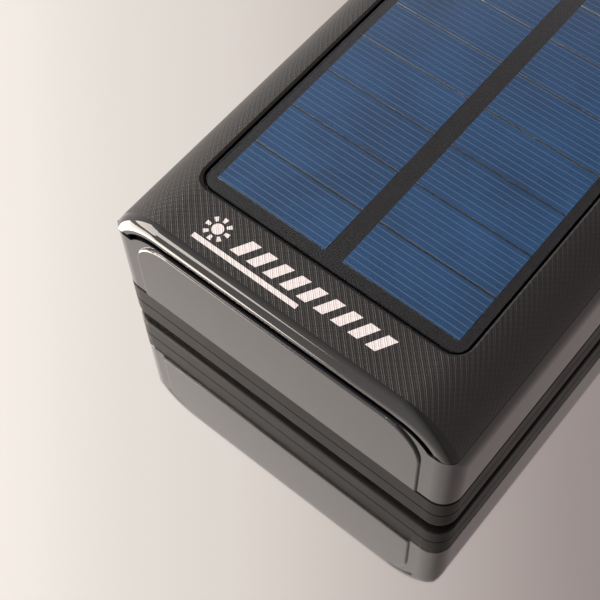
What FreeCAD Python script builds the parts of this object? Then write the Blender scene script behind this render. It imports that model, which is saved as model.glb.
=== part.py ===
"""Solar power bank, built as separate solids in millimetres.

The origin is the centre of the footprint, on the surface the feet rest on.
X runs across the case, Y along it towards the socket end, and Z up.
"""
import FreeCAD, Part
import math
import os

V = FreeCAD.Vector
X_AXIS = V(1, 0, 0)
Y_AXIS = V(0, 1, 0)
Z_AXIS = V(0, 0, 1)

# Overall sizes
WIDTH = 78.0
LENGTH = 162.0
HEIGHT = 38.4

# Solar panel
SIDE_BORDER = 9.75
END_BORDER = 14.45
CELL_ROWS = 12
CELL_GAP = 0.45
CELL_THICKNESS = 0.25
CENTRE_BAND = 3.9
PANEL_MARGIN_SIDE = 2.0
PANEL_MARGIN_END = 2.35
PANEL_CORNER = 2.8
PANEL_FIT = 0.6
OPENING_SLOPE = 0.8
FILM_OVER_CELLS = 0.15
FILM_BELOW_TOP = 0.9
BOND_LINE = 0.03
BOARD_THICKNESS = 1.2
TAPE_THICKNESS = 0.5
POCKET_FLOOR = 1.6
POCKET_WALL = 1.6

# Case
SHOULDER_RADIUS = 12.3
SEAM_DROP = 7.5
SEAM_GAP = 0.15
CORNER_RADIUS = 4.2
COVER_WALL = 3.0
COVER_SETBACK = 0.75
BEAD_RADIUS = 2.15
SKIN_THICKNESS = 0.5
SKIN_END_LINE = 0.2
GROOVE_WIDTH = 1.2
RIM_THICKNESS = 0.3
CHANNEL_DEPTH = 3.2
LIP_FIT = 0.15
LIP_THICKNESS = 1.0
HOUSING_WALL = 2.4
EDGE_BREAK = 0.4
PLATE_PROUD = 0.5
PLATE_ROUND = 0.45
PLATE_SIDE = 6.8
PLATE_CORNER = 8.5
PLATE_ABOVE_PARTING = 0.8
PARTING_HEIGHT = 12.4
PARTING_GAP = 0.25
BOTTOM_ROUND = 1.8
TRAY_LINE_DROP = 5.2
TRAY_LINE_WIDTH = 0.35
TRAY_LINE_DEPTH = 0.4
BOTTOM_FLOOR = 2.0
TONGUE_THICKNESS = 1.0
TONGUE_FIT = 0.2
TONGUE_HEIGHT = 2.4

# Feet, screws and posts
FOOT_PROUD = 0.8
FOOT_SUNK = 0.8
FOOT_RADIUS = 4.5
FOOT_FIT = 0.2
FOOT_DOME = 0.35
POST_INSET_X = 10.0
POST_INSET_Y = 9.5
POST_RADIUS = 3.0
POST_BASE_RADIUS = 3.7
POST_RISE = 2.1
POST_GAP = 0.3
SCREW_TIP_GAP = 4.8
SCREW_RADIUS = 1.3
SCREW_HEAD_RADIUS = 2.5
SCREW_HEAD_HEIGHT = 1.9
SCREW_SEAT = 4.2
SCREW_LENGTH = 18.0
THREAD_FIT = 0.05
HEAD_FIT = 0.3

# Battery
BATTERY_CELLS = ("lower", "middle", "upper")
BATTERY_SIDE_GAP = 3.6
BATTERY_EDGE = 1.5
BATTERY_START_GAP = 1.6
TERRACE_LENGTH = 5.0
TERRACE_THICKNESS = 1.2
CELL_TAPE = 0.5
FOAM_THICKNESS = 2.0
FOAM_LENGTH = 20.0
FOAM_GAP = 0.3
TAB_WIDTH = 8.0
TAB_THICKNESS = 0.2
TAB_LENGTH = 2.0
TAB_SPACING = 26.0
PROTECTION_THICKNESS = 1.2
PROTECTION_INSET = 8.0
PROTECTION_MARGIN = 1.0
LEAD_X = 22.0
LEAD_DROP = 4.9
LEAD_REACH = 8.0
SHEET_THICKNESS = 0.3
SHEET_STANDOFF = 0.8
RIB_THICKNESS = 1.2
RIB_GAP = 0.6
RIB_COUNT = 3

# Electronics at the socket end
ELECTRONICS_LENGTH = 43.2
MAIN_BOARD_THICKNESS = 1.6
MAIN_BOARD_SIDE_GAP = 3.6
MAIN_BOARD_BELOW_ROW = 12.6
MAIN_BOARD_START_GAP = 1.2
MAIN_BOARD_FRONT_GAP = 1.6
POST_NOTCH_FIT = 0.6
STANDOFF_RADIUS = 2.6
STANDOFF_INSET_X = 3.5
STANDOFF_INSET_Y = 3.2
SUPPORT_HALF_LENGTH = 18.0
BOARD_SCREW_RADIUS = 1.0
BOARD_SCREW_HEAD = 1.9
BOARD_SCREW_LENGTH = 7.0
SOCKET_FACE_SETBACK = 1.1
SOCKET_GAP = 1.6
USB_A_SIZE = (13.1, 5.7)
USB_A_DEPTH = 14.0
USB_C_SIZE = (9.0, 3.2)
USB_C_DEPTH = 8.5
MICRO_SIZE = (7.6, 2.6)
MICRO_DEPTH = 6.0
SHELL_WALL = 0.3
BEZEL_MARGIN_SIDE = 3.2
BEZEL_MARGIN_TOP = 4.0
BEZEL_SILL = 1.0
BEZEL_NOTCH_FIT = 0.3
BEZEL_CORNER = 3.0
BEZEL_SETBACK = 0.8
BEZEL_FIT = 0.15
BEZEL_FLANGE = 1.0
BEZEL_FLANGE_THICKNESS = 1.0
HOLE_FIT = 0.25
UPPER_ROW_DROP = 10.8
INDICATOR_SPACE = 4.25
INDICATOR_THICKNESS = 1.2
INDICATOR_HEIGHT = 7.4
INDICATOR_POST_GAP = 1.0
PEG_RADIUS = 0.9
PEG_INSET = 3.1
PEG_LIFT = 2.6
LED_COUNT = 4
LED_PITCH = 5.0
LED_AFTER_TORCH = 8.0
LED_SIZE = (1.8, 0.9, 1.0)
GUIDE_RADIUS = 1.0
GUIDE_BAR = 1.2
GUIDE_GAP = 0.3
TORCH_INSET = 7.0
TORCH_RADIUS = 2.9
TORCH_LED = 3.5
BUTTON_INSET = 12.0
BUTTON_SIZE = (8.4, 4.6)
BUTTON_PROUD = 0.6
BUTTON_TRAVEL = 0.5
BUTTON_FLANGE = 0.8
BUTTON_FLANGE_THICKNESS = 1.0
BUTTON_REST_GAP = 0.1
SWITCH_SIZE = 5.0
SWITCH_DEPTH = 1.6
PLUNGER_RADIUS = 1.1
PLUNGER_FIT = 0.15
WIRE_RADIUS = 0.8
WIRE_BEND = 4.0

# Sizes that follow from those above
HALF_WIDTH = WIDTH / 2
HALF_LENGTH = LENGTH / 2
COVER_HALF_LENGTH = HALF_LENGTH - COVER_SETBACK
POCKET_HALF_WIDTH = HALF_WIDTH - SIDE_BORDER
POCKET_HALF_LENGTH = HALF_LENGTH - END_BORDER
PANEL_HALF_WIDTH = POCKET_HALF_WIDTH - PANEL_FIT
PANEL_HALF_LENGTH = POCKET_HALF_LENGTH - PANEL_FIT
CELL_WIDTH = PANEL_HALF_WIDTH - PANEL_MARGIN_SIDE - CENTRE_BAND / 2
CELL_PITCH = 2 * (PANEL_HALF_LENGTH - PANEL_MARGIN_END) / CELL_ROWS
FILM_TOP = HEIGHT - FILM_BELOW_TOP
CELL_TOP = FILM_TOP - FILM_OVER_CELLS
BOARD_TOP = CELL_TOP - CELL_THICKNESS
BOARD_BOTTOM = BOARD_TOP - BOARD_THICKNESS
POCKET_BOTTOM = BOARD_BOTTOM - TAPE_THICKNESS
CEILING = POCKET_BOTTOM - POCKET_FLOOR
SEAM_HEIGHT = HEIGHT - SEAM_DROP
INNER_HALF_WIDTH = HALF_WIDTH - HOUSING_WALL
BODY_HALF_LENGTH = HALF_LENGTH - PLATE_PROUD
INNER_HALF_LENGTH = BODY_HALF_LENGTH - HOUSING_WALL
INNER_CORNER = max(CORNER_RADIUS - HOUSING_WALL, 0.8)
END_WALL_OFFSET = COVER_WALL + GROOVE_WIDTH
FLOOR_TOP = FOOT_PROUD + BOTTOM_FLOOR
POST_X = HALF_WIDTH - POST_INSET_X
POST_Y = HALF_LENGTH - POST_INSET_Y
POST_TOP = PARTING_HEIGHT + POST_RISE
SCREW_TIP = SCREW_SEAT + SCREW_LENGTH
BATTERY_START = -POST_Y + POST_BASE_RADIUS + BATTERY_START_GAP
BATTERY_END = HALF_LENGTH - ELECTRONICS_LENGTH
BATTERY_LENGTH = BATTERY_END - BATTERY_START
BATTERY_HALF_WIDTH = INNER_HALF_WIDTH - BATTERY_SIDE_GAP
STACK_TOP = CEILING - FOAM_GAP - FOAM_THICKNESS
BATTERY_THICKNESS = (STACK_TOP - FLOOR_TOP) / len(BATTERY_CELLS) - CELL_TAPE
TERRACE_END = BATTERY_END + TERRACE_LENGTH
TAB_END = TERRACE_END + TAB_LENGTH
PROTECTION_END = TAB_END + PROTECTION_THICKNESS
SHEET_START = PROTECTION_END + SHEET_STANDOFF
UPPER_ROW = HEIGHT - UPPER_ROW_DROP
MAIN_BOARD_BOTTOM = UPPER_ROW - MAIN_BOARD_BELOW_ROW
BEZEL_LOW = MAIN_BOARD_BOTTOM - BEZEL_SILL
BEZEL_HIGH = UPPER_ROW + BEZEL_MARGIN_TOP
BEZEL_MIDDLE = (BEZEL_LOW + BEZEL_HIGH) / 2
BEZEL_HALF_HEIGHT = (BEZEL_HIGH - BEZEL_LOW) / 2
BEZEL_FACE = HALF_LENGTH - BEZEL_SETBACK
BEZEL_REAR = INNER_HALF_LENGTH - BEZEL_FIT - BEZEL_FLANGE_THICKNESS
MAIN_BOARD_TOP = MAIN_BOARD_BOTTOM + MAIN_BOARD_THICKNESS
MAIN_BOARD_HALF_WIDTH = INNER_HALF_WIDTH - MAIN_BOARD_SIDE_GAP
MAIN_BOARD_START = SHEET_START + SHEET_THICKNESS + MAIN_BOARD_START_GAP
MAIN_BOARD_END = BEZEL_REAR - MAIN_BOARD_FRONT_GAP
STANDOFF_X = MAIN_BOARD_HALF_WIDTH - STANDOFF_INSET_X
STANDOFF_Y = MAIN_BOARD_START + STANDOFF_INSET_Y
SOCKET_FACE = HALF_LENGTH - SOCKET_FACE_SETBACK
SOCKET_WIDTHS = (USB_A_SIZE[0], USB_A_SIZE[0], USB_C_SIZE[0], MICRO_SIZE[0])
SOCKET_ROW_HALF = (sum(SOCKET_WIDTHS) + SOCKET_GAP * (len(SOCKET_WIDTHS) - 1)) / 2
SOCKET_PLACES = [
    sum(SOCKET_WIDTHS[:i]) + SOCKET_GAP * i + width / 2 - SOCKET_ROW_HALF
    for i, width in enumerate(SOCKET_WIDTHS)
]
USB_A_PLACES = SOCKET_PLACES[:2]
USB_C_PLACE = SOCKET_PLACES[2]
MICRO_PLACE = SOCKET_PLACES[3]
BEZEL_HALF_WIDTH = SOCKET_ROW_HALF + BEZEL_MARGIN_SIDE
TORCH_PLACE = TORCH_INSET - BEZEL_HALF_WIDTH
BUTTON_PLACE = BEZEL_HALF_WIDTH - BUTTON_INSET
LED_PLACES = [TORCH_PLACE + LED_AFTER_TORCH + LED_PITCH * i for i in range(LED_COUNT)]
PEG_X = BEZEL_HALF_WIDTH - PEG_INSET
PEG_PLACES = ((-PEG_X, -PEG_LIFT), (PEG_X, -PEG_LIFT), ((LED_PLACES[-1] + BUTTON_PLACE) / 2 - 1.6, PEG_LIFT))
INDICATOR_HALF_WIDTH = POST_X - POST_RADIUS - INDICATOR_POST_GAP
INDICATOR_BOARD_FRONT = BEZEL_REAR - INDICATOR_SPACE
INDICATOR_BOARD_REAR = INDICATOR_BOARD_FRONT - INDICATOR_THICKNESS
BUTTON_FRONT = BEZEL_FACE + BUTTON_PROUD
BUTTON_REAR = BEZEL_REAR - BUTTON_REST_GAP - BUTTON_FLANGE_THICKNESS


def box(x_span, y_span, z_span):
    """A block between two limits along each axis."""
    size = [span[1] - span[0] for span in (x_span, y_span, z_span)]
    return Part.makeBox(*size, V(x_span[0], y_span[0], z_span[0]))


def upright(radius, x, y, z_span):
    """A cylinder standing along Z."""
    return Part.makeCylinder(radius, z_span[1] - z_span[0], V(x, y, z_span[0]), Z_AXIS)


def lengthwise(radius, x, z, y_span):
    """A cylinder lying along Y."""
    return Part.makeCylinder(radius, y_span[1] - y_span[0], V(x, y_span[0], z), Y_AXIS)


def rounded_loop(half_u, half_v, radius, place):
    """A closed wire round a rectangle with equal corner arcs; place maps u and v to a point."""
    arc = radius * (1 - math.sqrt(0.5))
    corners = [(1, 1), (-1, 1), (-1, -1), (1, -1)]
    edges = []
    previous = None
    first = None
    for sign_u, sign_v in corners:
        along_u = place(sign_u * (half_u - radius), sign_v * half_v)
        along_v = place(sign_u * half_u, sign_v * (half_v - radius))
        middle = place(sign_u * (half_u - arc), sign_v * (half_v - arc))
        start, end = (along_v, along_u) if sign_u == sign_v else (along_u, along_v)
        if previous is None:
            first = start
        elif previous.distanceToPoint(start) > 1e-6:
            edges.append(Part.LineSegment(previous, start).toShape())
        edges.append(Part.Arc(start, middle, end).toShape())
        previous = end
    if previous.distanceToPoint(first) > 1e-6:
        edges.append(Part.LineSegment(previous, first).toShape())
    return Part.Wire(edges)


def rounded_block(half_x, half_y, radius, z_span):
    """A block standing along Z with rounded upright corners, centred on the origin."""
    loop = rounded_loop(half_x, half_y, radius, lambda u, v: V(u, v, z_span[0]))
    return Part.Face(loop).extrude(V(0, 0, z_span[1] - z_span[0]))


def rounded_bar(x, z, half_x, half_z, radius, y_span):
    """A bar lying along Y with a rounded rectangular section."""
    loop = rounded_loop(half_x, half_z, radius, lambda u, v: V(x + u, y_span[0], z + v))
    return Part.Face(loop).extrude(V(0, y_span[1] - y_span[0], 0))


def arched_block(half, top, radius, y_span, bottom):
    """A block with rounded shoulders, extruded along Y and cut flat at bottom."""
    shoulder = half - radius
    spring = top - radius
    lean = radius * math.sqrt(0.5)
    start = y_span[0]
    low = min(bottom, spring - 1)

    def point(x, z):
        return V(x, start, z)

    def shoulder_arc(side):
        side_foot = point(side * half, spring)
        middle = point(side * (shoulder + lean), spring + lean)
        return Part.Arc(side_foot, middle, point(side * shoulder, top)).toShape()

    edges = [
        Part.LineSegment(point(-half, low), point(-half, spring)).toShape(),
        shoulder_arc(-1),
        Part.LineSegment(point(-shoulder, top), point(shoulder, top)).toShape(),
        shoulder_arc(1),
        Part.LineSegment(point(half, spring), point(half, low)).toShape(),
        Part.LineSegment(point(half, low), point(-half, low)).toShape(),
    ]
    solid = Part.Face(Part.Wire(edges)).extrude(V(0, y_span[1] - start, 0))
    if low < bottom:
        below = box((-WIDTH, WIDTH), (y_span[0] - 1, y_span[1] + 1), (low - 1, bottom))
        solid = solid.cut(below)
    return solid


def arch(offset, y_span, bottom):
    """The case's arched section moved inwards by offset."""
    return arched_block(HALF_WIDTH - offset, HEIGHT - offset, SHOULDER_RADIUS - offset, y_span, bottom)


def join(shapes):
    """One solid from shapes that touch or overlap."""
    return shapes[0].fuse(list(shapes[1:])).removeSplitter()


def group(shapes):
    """Separate solids kept together in one file."""
    return Part.makeCompound(list(shapes))


def tube(points, radius, bend):
    """A round wire along straight runs joined by arcs of one bend radius."""
    edges = []
    start = points[0]
    for before, corner, after in zip(points, points[1:], points[2:]):
        toward = (before - corner).normalize()
        away = (after - corner).normalize()
        half = toward.getAngle(away) / 2
        setback = bend / math.tan(half)
        enter = corner + toward * setback
        leave = corner + away * setback
        inward = (toward + away).normalize()
        middle = corner + inward * (bend / math.sin(half) - bend)
        edges.append(Part.LineSegment(start, enter).toShape())
        edges.append(Part.Arc(enter, middle, leave).toShape())
        start = leave
    edges.append(Part.LineSegment(start, points[-1]).toShape())
    path = Part.Wire(edges)
    section = Part.Wire(Part.makeCircle(radius, points[0], points[1] - points[0]))
    return path.makePipeShell([section], True, False)


def post_places():
    """The four corners where screws, posts and feet stand."""
    return [(sx * POST_X, sy * POST_Y) for sx in (-1, 1) for sy in (-1, 1)]


def pocket(z_span, shrink=0.0):
    """The rounded space that the panel sits in."""
    return rounded_block(
        POCKET_HALF_WIDTH - shrink, POCKET_HALF_LENGTH - shrink, PANEL_CORNER + PANEL_FIT - shrink, z_span
    )


def opening_slope():
    """The sloping rim that leads down into the panel's opening."""
    grow = OPENING_SLOPE
    corner = PANEL_CORNER + PANEL_FIT + grow
    low = HEIGHT - grow
    rim = rounded_block(POCKET_HALF_WIDTH + grow, POCKET_HALF_LENGTH + grow, corner, (low, HEIGHT + 1))
    return rim.makeChamfer(grow - 0.01, level_edges(rim, low))


def skin_span():
    """How far the textured skin reaches along Y, from bead to bead."""
    end = COVER_HALF_LENGTH - BEAD_RADIUS - SKIN_END_LINE
    return -end, end


def skin_layer():
    """The full arched layer that the skin fills, before the panel opening is cut."""
    span = skin_span()
    return arch(0, span, SEAM_HEIGHT).cut(arch(SKIN_THICKNESS, (span[0] - 1, span[1] + 1), SEAM_HEIGHT - 1))


def make_texture_skin():
    return skin_layer().cut([pocket((BOARD_BOTTOM, HEIGHT + 1)), opening_slope()])


def make_top_cover():
    outer = arch(0, (-COVER_HALF_LENGTH, COVER_HALF_LENGTH), SEAM_HEIGHT)
    rims = flat_ended(outer, -COVER_HALF_LENGTH) + flat_ended(outer, COVER_HALF_LENGTH)
    outer = outer.makeFillet(BEAD_RADIUS, [e for e in rims if e.BoundBox.ZMax > SEAM_HEIGHT + 1e-3])
    shell = outer.cut(arch(COVER_WALL, (-HALF_LENGTH - 1, HALF_LENGTH + 1), SEAM_HEIGHT - 1))
    well = rounded_block(
        POCKET_HALF_WIDTH + POCKET_WALL, POCKET_HALF_LENGTH + POCKET_WALL,
        PANEL_CORNER + PANEL_FIT + POCKET_WALL, (CEILING, HEIGHT - COVER_WALL + 0.5),
    )
    pieces = [shell, well]
    for side in (-1, 1):
        inner = INNER_HALF_WIDTH - TONGUE_FIT
        x_span = sorted((side * inner, side * (inner - TONGUE_THICKNESS)))
        top = SEAM_HEIGHT + 1.0
        pieces.append(box(x_span, (-POST_Y, POST_Y), (SEAM_HEIGHT - TONGUE_HEIGHT, top)))
    low = POST_TOP + POST_GAP
    for x, y in post_places():
        post = upright(POST_RADIUS, x, y, (low, HEIGHT - COVER_WALL + 0.5))
        pieces.append(post.common(arch(COVER_WALL / 2, (-HALF_LENGTH, HALF_LENGTH), low)))
    cover = join(pieces)
    cuts = [pocket((POCKET_BOTTOM, HEIGHT + 1)), skin_layer(), opening_slope()]
    for x, y in post_places():
        cuts.append(upright(SCREW_RADIUS + THREAD_FIT, x, y, (low - 1, SCREW_TIP + SCREW_TIP_GAP)))
    for x, y in lead_places():
        cuts.append(upright(WIRE_RADIUS + HOLE_FIT, x, y, (CEILING - 1, POCKET_BOTTOM + 1)))
    return cover.cut(cuts)


def lead_places():
    """Where the two panel leads pass through the pocket floor."""
    y = MAIN_BOARD_START + 9
    return [(-14.0, y), (-10.0, y)]


def cell_block(column, row, bond=0.0):
    """One solar cell, larger all round by bond; column is -1 or 1, row counts from the plain end."""
    inner = column * CENTRE_BAND / 2
    outer = inner + column * CELL_WIDTH
    start = (row - CELL_ROWS / 2) * CELL_PITCH + CELL_GAP / 2
    low_x, high_x = sorted((inner, outer))
    y_span = (start - bond, start + CELL_PITCH - CELL_GAP + bond)
    return box((low_x - bond, high_x + bond), y_span, (BOARD_TOP, CELL_TOP + bond))


def make_solar_cells(column):
    return group([cell_block(column, row) for row in range(CELL_ROWS)])


def make_panel_board():
    return rounded_block(PANEL_HALF_WIDTH, PANEL_HALF_LENGTH, PANEL_CORNER, (BOARD_BOTTOM, BOARD_TOP))


def make_panel_film():
    """The clear film, clear of the board and the cells by the adhesive that bonds it."""
    span = (BOARD_TOP + BOND_LINE, FILM_TOP)
    film = rounded_block(PANEL_HALF_WIDTH, PANEL_HALF_LENGTH, PANEL_CORNER, span)
    cells = [cell_block(column, row, BOND_LINE) for column in (-1, 1) for row in range(CELL_ROWS)]
    return film.cut(cells)


def make_panel_tape():
    tape = pocket((POCKET_BOTTOM, BOARD_BOTTOM), 2 * PANEL_FIT)
    holes = [upright(WIRE_RADIUS + HOLE_FIT, x, y, (CEILING, BOARD_TOP)) for x, y in lead_places()]
    return tape.cut(holes)


def make_panel_leads():
    leads = []
    for x, y in lead_places():
        top = V(x, y, BOARD_BOTTOM)
        bend_high = V(x, y, CEILING - 4)
        bend_low = V(x, y - 5, MAIN_BOARD_TOP + 6)
        foot = V(x, y - 5, MAIN_BOARD_TOP)
        leads.append(tube([top, bend_high, bend_low, foot], WIRE_RADIUS, WIRE_BEND))
    return group(leads)


def make_end_plate(side):
    """The raised plate with a softened edge that faces each end of the housing."""
    face = side * HALF_LENGTH
    span = sorted((face, side * (BODY_HALF_LENGTH - 0.5)))
    half = HALF_WIDTH - PLATE_SIDE
    low = PARTING_HEIGHT + PLATE_ABOVE_PARTING
    plate = arched_block(half, HEIGHT - END_WALL_OFFSET, PLATE_CORNER, span, low)
    return plate.makeFillet(PLATE_ROUND, flat_ended(plate, face))


def make_end_channel(side):
    """The deep channel behind the rim of each end wall, open towards the cover."""
    span = sorted((side * (BODY_HALF_LENGTH - RIM_THICKNESS), side * (INNER_HALF_LENGTH + LIP_THICKNESS)))
    low = SEAM_HEIGHT - CHANNEL_DEPTH
    outer = arch(END_WALL_OFFSET - GROOVE_WIDTH / 2, span, low)
    return outer.cut(arch(END_WALL_OFFSET + CHANNEL_DEPTH, (span[0] - 1, span[1] + 1), low - 1))


def make_main_housing():
    top = SEAM_HEIGHT - SEAM_GAP
    bottom = PARTING_HEIGHT + PARTING_GAP
    block = rounded_block(HALF_WIDTH, BODY_HALF_LENGTH, CORNER_RADIUS, (bottom, top))
    block = block.makeChamfer(EDGE_BREAK, level_edges(block, bottom))
    block = block.common(arch(0, (-HALF_LENGTH - 1, HALF_LENGTH + 1), bottom - 1))
    inner = rounded_block(INNER_HALF_WIDTH, INNER_HALF_LENGTH, INNER_CORNER, (bottom - 1, HEIGHT))
    pieces = [block.cut(inner)]
    for side in (-1, 1):
        wall = sorted((side * BODY_HALF_LENGTH, side * INNER_HALF_LENGTH))
        pieces.append(arch(END_WALL_OFFSET, wall, top - 1))
        pieces.append(make_end_plate(side))
        lip = sorted((side * INNER_HALF_LENGTH, side * (INNER_HALF_LENGTH + LIP_THICKNESS)))
        pieces.append(arch(COVER_WALL + LIP_FIT, lip, SEAM_HEIGHT + SEAM_GAP))
    for index in range(RIB_COUNT):
        y = BATTERY_START + BATTERY_LENGTH * (index + 0.5) / RIB_COUNT
        for side in (-1, 1):
            x_span = sorted((side * (BATTERY_HALF_WIDTH + RIB_GAP), side * (INNER_HALF_WIDTH + 0.3)))
            rib_top = SEAM_HEIGHT - TONGUE_HEIGHT - 1
            pieces.append(box(x_span, (y, y + RIB_THICKNESS), (bottom + TONGUE_HEIGHT, rib_top)))
    housing = join(pieces)
    cuts = [bezel_bar(0, (INNER_HALF_LENGTH - 2, HALF_LENGTH + 1)), make_end_channel(-1), make_end_channel(1)]
    return housing.cut(cuts)


def flat_ended(shape, y):
    """The edges of a shape that lie in one upright plane across the case."""
    found = []
    for edge in shape.Edges:
        if edge.BoundBox.YLength < 1e-6 and abs(edge.BoundBox.YMin - y) < 1e-6:
            found.append(edge)
    return found


def level_edges(shape, height):
    """The edges of a shape that lie flat at one height."""
    found = []
    for edge in shape.Edges:
        if edge.BoundBox.ZLength < 1e-6 and abs(edge.BoundBox.ZMin - height) < 1e-6:
            found.append(edge)
    return found


def make_bottom_cover():
    block = rounded_block(HALF_WIDTH, BODY_HALF_LENGTH, CORNER_RADIUS, (FOOT_PROUD, PARTING_HEIGHT))
    bottom_round = min(BOTTOM_ROUND, CORNER_RADIUS - 0.2)
    block = block.makeFillet(bottom_round, level_edges(block, FOOT_PROUD))
    block = block.makeChamfer(EDGE_BREAK, level_edges(block, PARTING_HEIGHT))
    hollow = rounded_block(INNER_HALF_WIDTH, INNER_HALF_LENGTH, INNER_CORNER, (FLOOR_TOP, HEIGHT))
    line_high = PARTING_HEIGHT - TRAY_LINE_DROP
    line_span = (line_high - TRAY_LINE_WIDTH, line_high)
    sunk = CORNER_RADIUS - TRAY_LINE_DEPTH
    core = rounded_block(HALF_WIDTH - TRAY_LINE_DEPTH, BODY_HALF_LENGTH - TRAY_LINE_DEPTH, sunk, line_span)
    line = box((-WIDTH, WIDTH), (-LENGTH, LENGTH), line_span).cut(core)
    tray = block.cut([hollow, line])
    outer_tongue = INNER_HALF_WIDTH - TONGUE_FIT, INNER_HALF_LENGTH - TONGUE_FIT
    tongue_low = PARTING_HEIGHT - TONGUE_HEIGHT
    tongue_high = PARTING_HEIGHT + TONGUE_HEIGHT - 1
    ring = rounded_block(*outer_tongue, INNER_CORNER, (tongue_low, tongue_high))
    bore = rounded_block(
        outer_tongue[0] - TONGUE_THICKNESS, outer_tongue[1] - TONGUE_THICKNESS, INNER_CORNER,
        (tongue_low - 1, tongue_high + 1),
    )
    ledge = rounded_block(
        INNER_HALF_WIDTH + 0.5, INNER_HALF_LENGTH + 0.5, INNER_CORNER, (tongue_low - 1, tongue_low + 0.5)
    ).cut(bore)
    pieces = [tray, ring.cut(bore), ledge]
    for x, y in post_places():
        pieces.append(upright(POST_BASE_RADIUS, x, y, (FLOOR_TOP - 0.5, POST_TOP)))
    for side in (-1, 1):
        z_span = (FLOOR_TOP - 0.5, MAIN_BOARD_BOTTOM)
        pieces.append(upright(STANDOFF_RADIUS, side * STANDOFF_X, STANDOFF_Y, z_span))
    rib_y = MAIN_BOARD_END - 3
    x_span = (-SUPPORT_HALF_LENGTH, SUPPORT_HALF_LENGTH)
    pieces.append(box(x_span, (rib_y - RIB_THICKNESS, rib_y), (FLOOR_TOP - 0.5, MAIN_BOARD_BOTTOM)))
    tray = join(pieces)
    cuts = [bezel_bar(BEZEL_FLANGE + BEZEL_NOTCH_FIT, (BEZEL_REAR - BEZEL_NOTCH_FIT, INNER_HALF_LENGTH))]
    for x, y in post_places():
        cuts.append(upright(FOOT_RADIUS + FOOT_FIT, x, y, (0, FOOT_PROUD + FOOT_SUNK)))
        cuts.append(upright(SCREW_HEAD_RADIUS + HEAD_FIT, x, y, (0, SCREW_SEAT)))
        cuts.append(upright(SCREW_RADIUS + HEAD_FIT, x, y, (0, POST_TOP + 1)))
    for side in (-1, 1):
        depth = MAIN_BOARD_BOTTOM - BOARD_SCREW_LENGTH
        hole = (depth, MAIN_BOARD_BOTTOM + 1)
        cuts.append(upright(BOARD_SCREW_RADIUS + THREAD_FIT, side * STANDOFF_X, STANDOFF_Y, hole))
    return tray.cut(cuts)


def make_rubber_feet():
    feet = []
    for x, y in post_places():
        foot = upright(FOOT_RADIUS, x, y, (0, FOOT_PROUD + FOOT_SUNK))
        feet.append(foot.makeFillet(FOOT_DOME, level_edges(foot, 0)))
    return group(feet)


def cross_slot(x, y, z_span, reach):
    """The crossed recess in a screw's head."""
    width = reach * 0.35
    along = box((x - reach, x + reach), (y - width / 2, y + width / 2), z_span)
    across = box((x - width / 2, x + width / 2), (y - reach, y + reach), z_span)
    return along.fuse(across)


def make_bottom_screws():
    screws = []
    for x, y in post_places():
        head_low = SCREW_SEAT - SCREW_HEAD_HEIGHT
        head = upright(SCREW_HEAD_RADIUS, x, y, (head_low, SCREW_SEAT))
        shank = upright(SCREW_RADIUS, x, y, (SCREW_SEAT - 0.5, SCREW_TIP))
        slot = cross_slot(x, y, (head_low - 1, head_low + 1.1), 1.4)
        screws.append(join([head, shank]).cut(slot))
    return group(screws)


def battery_floor(index):
    """The underside of one pouch cell in the stack of three."""
    return FLOOR_TOP + CELL_TAPE + index * (BATTERY_THICKNESS + CELL_TAPE)


def make_battery_cell(index):
    low = battery_floor(index)
    span = (low, low + BATTERY_THICKNESS)
    half = BATTERY_HALF_WIDTH
    body = box((-half, half), (BATTERY_START, BATTERY_END), span)
    body = body.makeFillet(BATTERY_EDGE, body.Edges)
    middle = low + BATTERY_THICKNESS / 2
    terrace_span = (middle - TERRACE_THICKNESS / 2, middle + TERRACE_THICKNESS / 2)
    inset = BATTERY_EDGE
    terrace = box((inset - half, half - inset), (BATTERY_END - 2, TERRACE_END), terrace_span)
    return join([body, terrace])


def make_cell_tapes():
    tapes = []
    half = BATTERY_HALF_WIDTH - 6
    for index in range(len(BATTERY_CELLS)):
        high = battery_floor(index)
        tapes.append(box((-half, half), (BATTERY_START + 6, BATTERY_END - 6), (high - CELL_TAPE, high)))
    return group(tapes)


def make_cell_foam():
    half = BATTERY_HALF_WIDTH - 8
    pads = []
    for y in (BATTERY_START + 10, BATTERY_END - 10 - FOAM_LENGTH):
        pads.append(box((-half, half), (y, y + FOAM_LENGTH), (STACK_TOP, STACK_TOP + FOAM_THICKNESS)))
    return group(pads)


def make_cell_tabs():
    tabs = []
    for index in range(len(BATTERY_CELLS)):
        middle = battery_floor(index) + BATTERY_THICKNESS / 2
        for side in (-1, 1):
            x = side * TAB_SPACING / 2
            z_span = (middle - TAB_THICKNESS / 2, middle + TAB_THICKNESS / 2)
            tabs.append(box((x - TAB_WIDTH / 2, x + TAB_WIDTH / 2), (TERRACE_END, TAB_END), z_span))
    return group(tabs)


def make_protection_board():
    half = BATTERY_HALF_WIDTH - PROTECTION_INSET
    z_span = (battery_floor(0) + PROTECTION_MARGIN, STACK_TOP - PROTECTION_MARGIN)
    return box((-half, half), (TAB_END, PROTECTION_END), z_span)


def lead_crossings():
    """Where the battery leads cross the insulating sheet, as x and z."""
    return [(side * LEAD_X, STACK_TOP - LEAD_DROP) for side in (-1, 1)]


def make_insulating_sheet():
    half = INNER_HALF_WIDTH - 3
    sheet = box((-half, half), (SHEET_START, SHEET_START + SHEET_THICKNESS), (FLOOR_TOP + 0.3, CEILING - 0.3))
    sheet = sheet.common(arch(COVER_WALL + 0.6, (SHEET_START - 1, SHEET_START + 1), FOOT_PROUD))
    cuts = []
    for x, z in lead_crossings():
        cuts.append(lengthwise(WIRE_RADIUS + HOLE_FIT, x, z, (SHEET_START - 1, SHEET_START + 1)))
    return sheet.cut(cuts)


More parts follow.
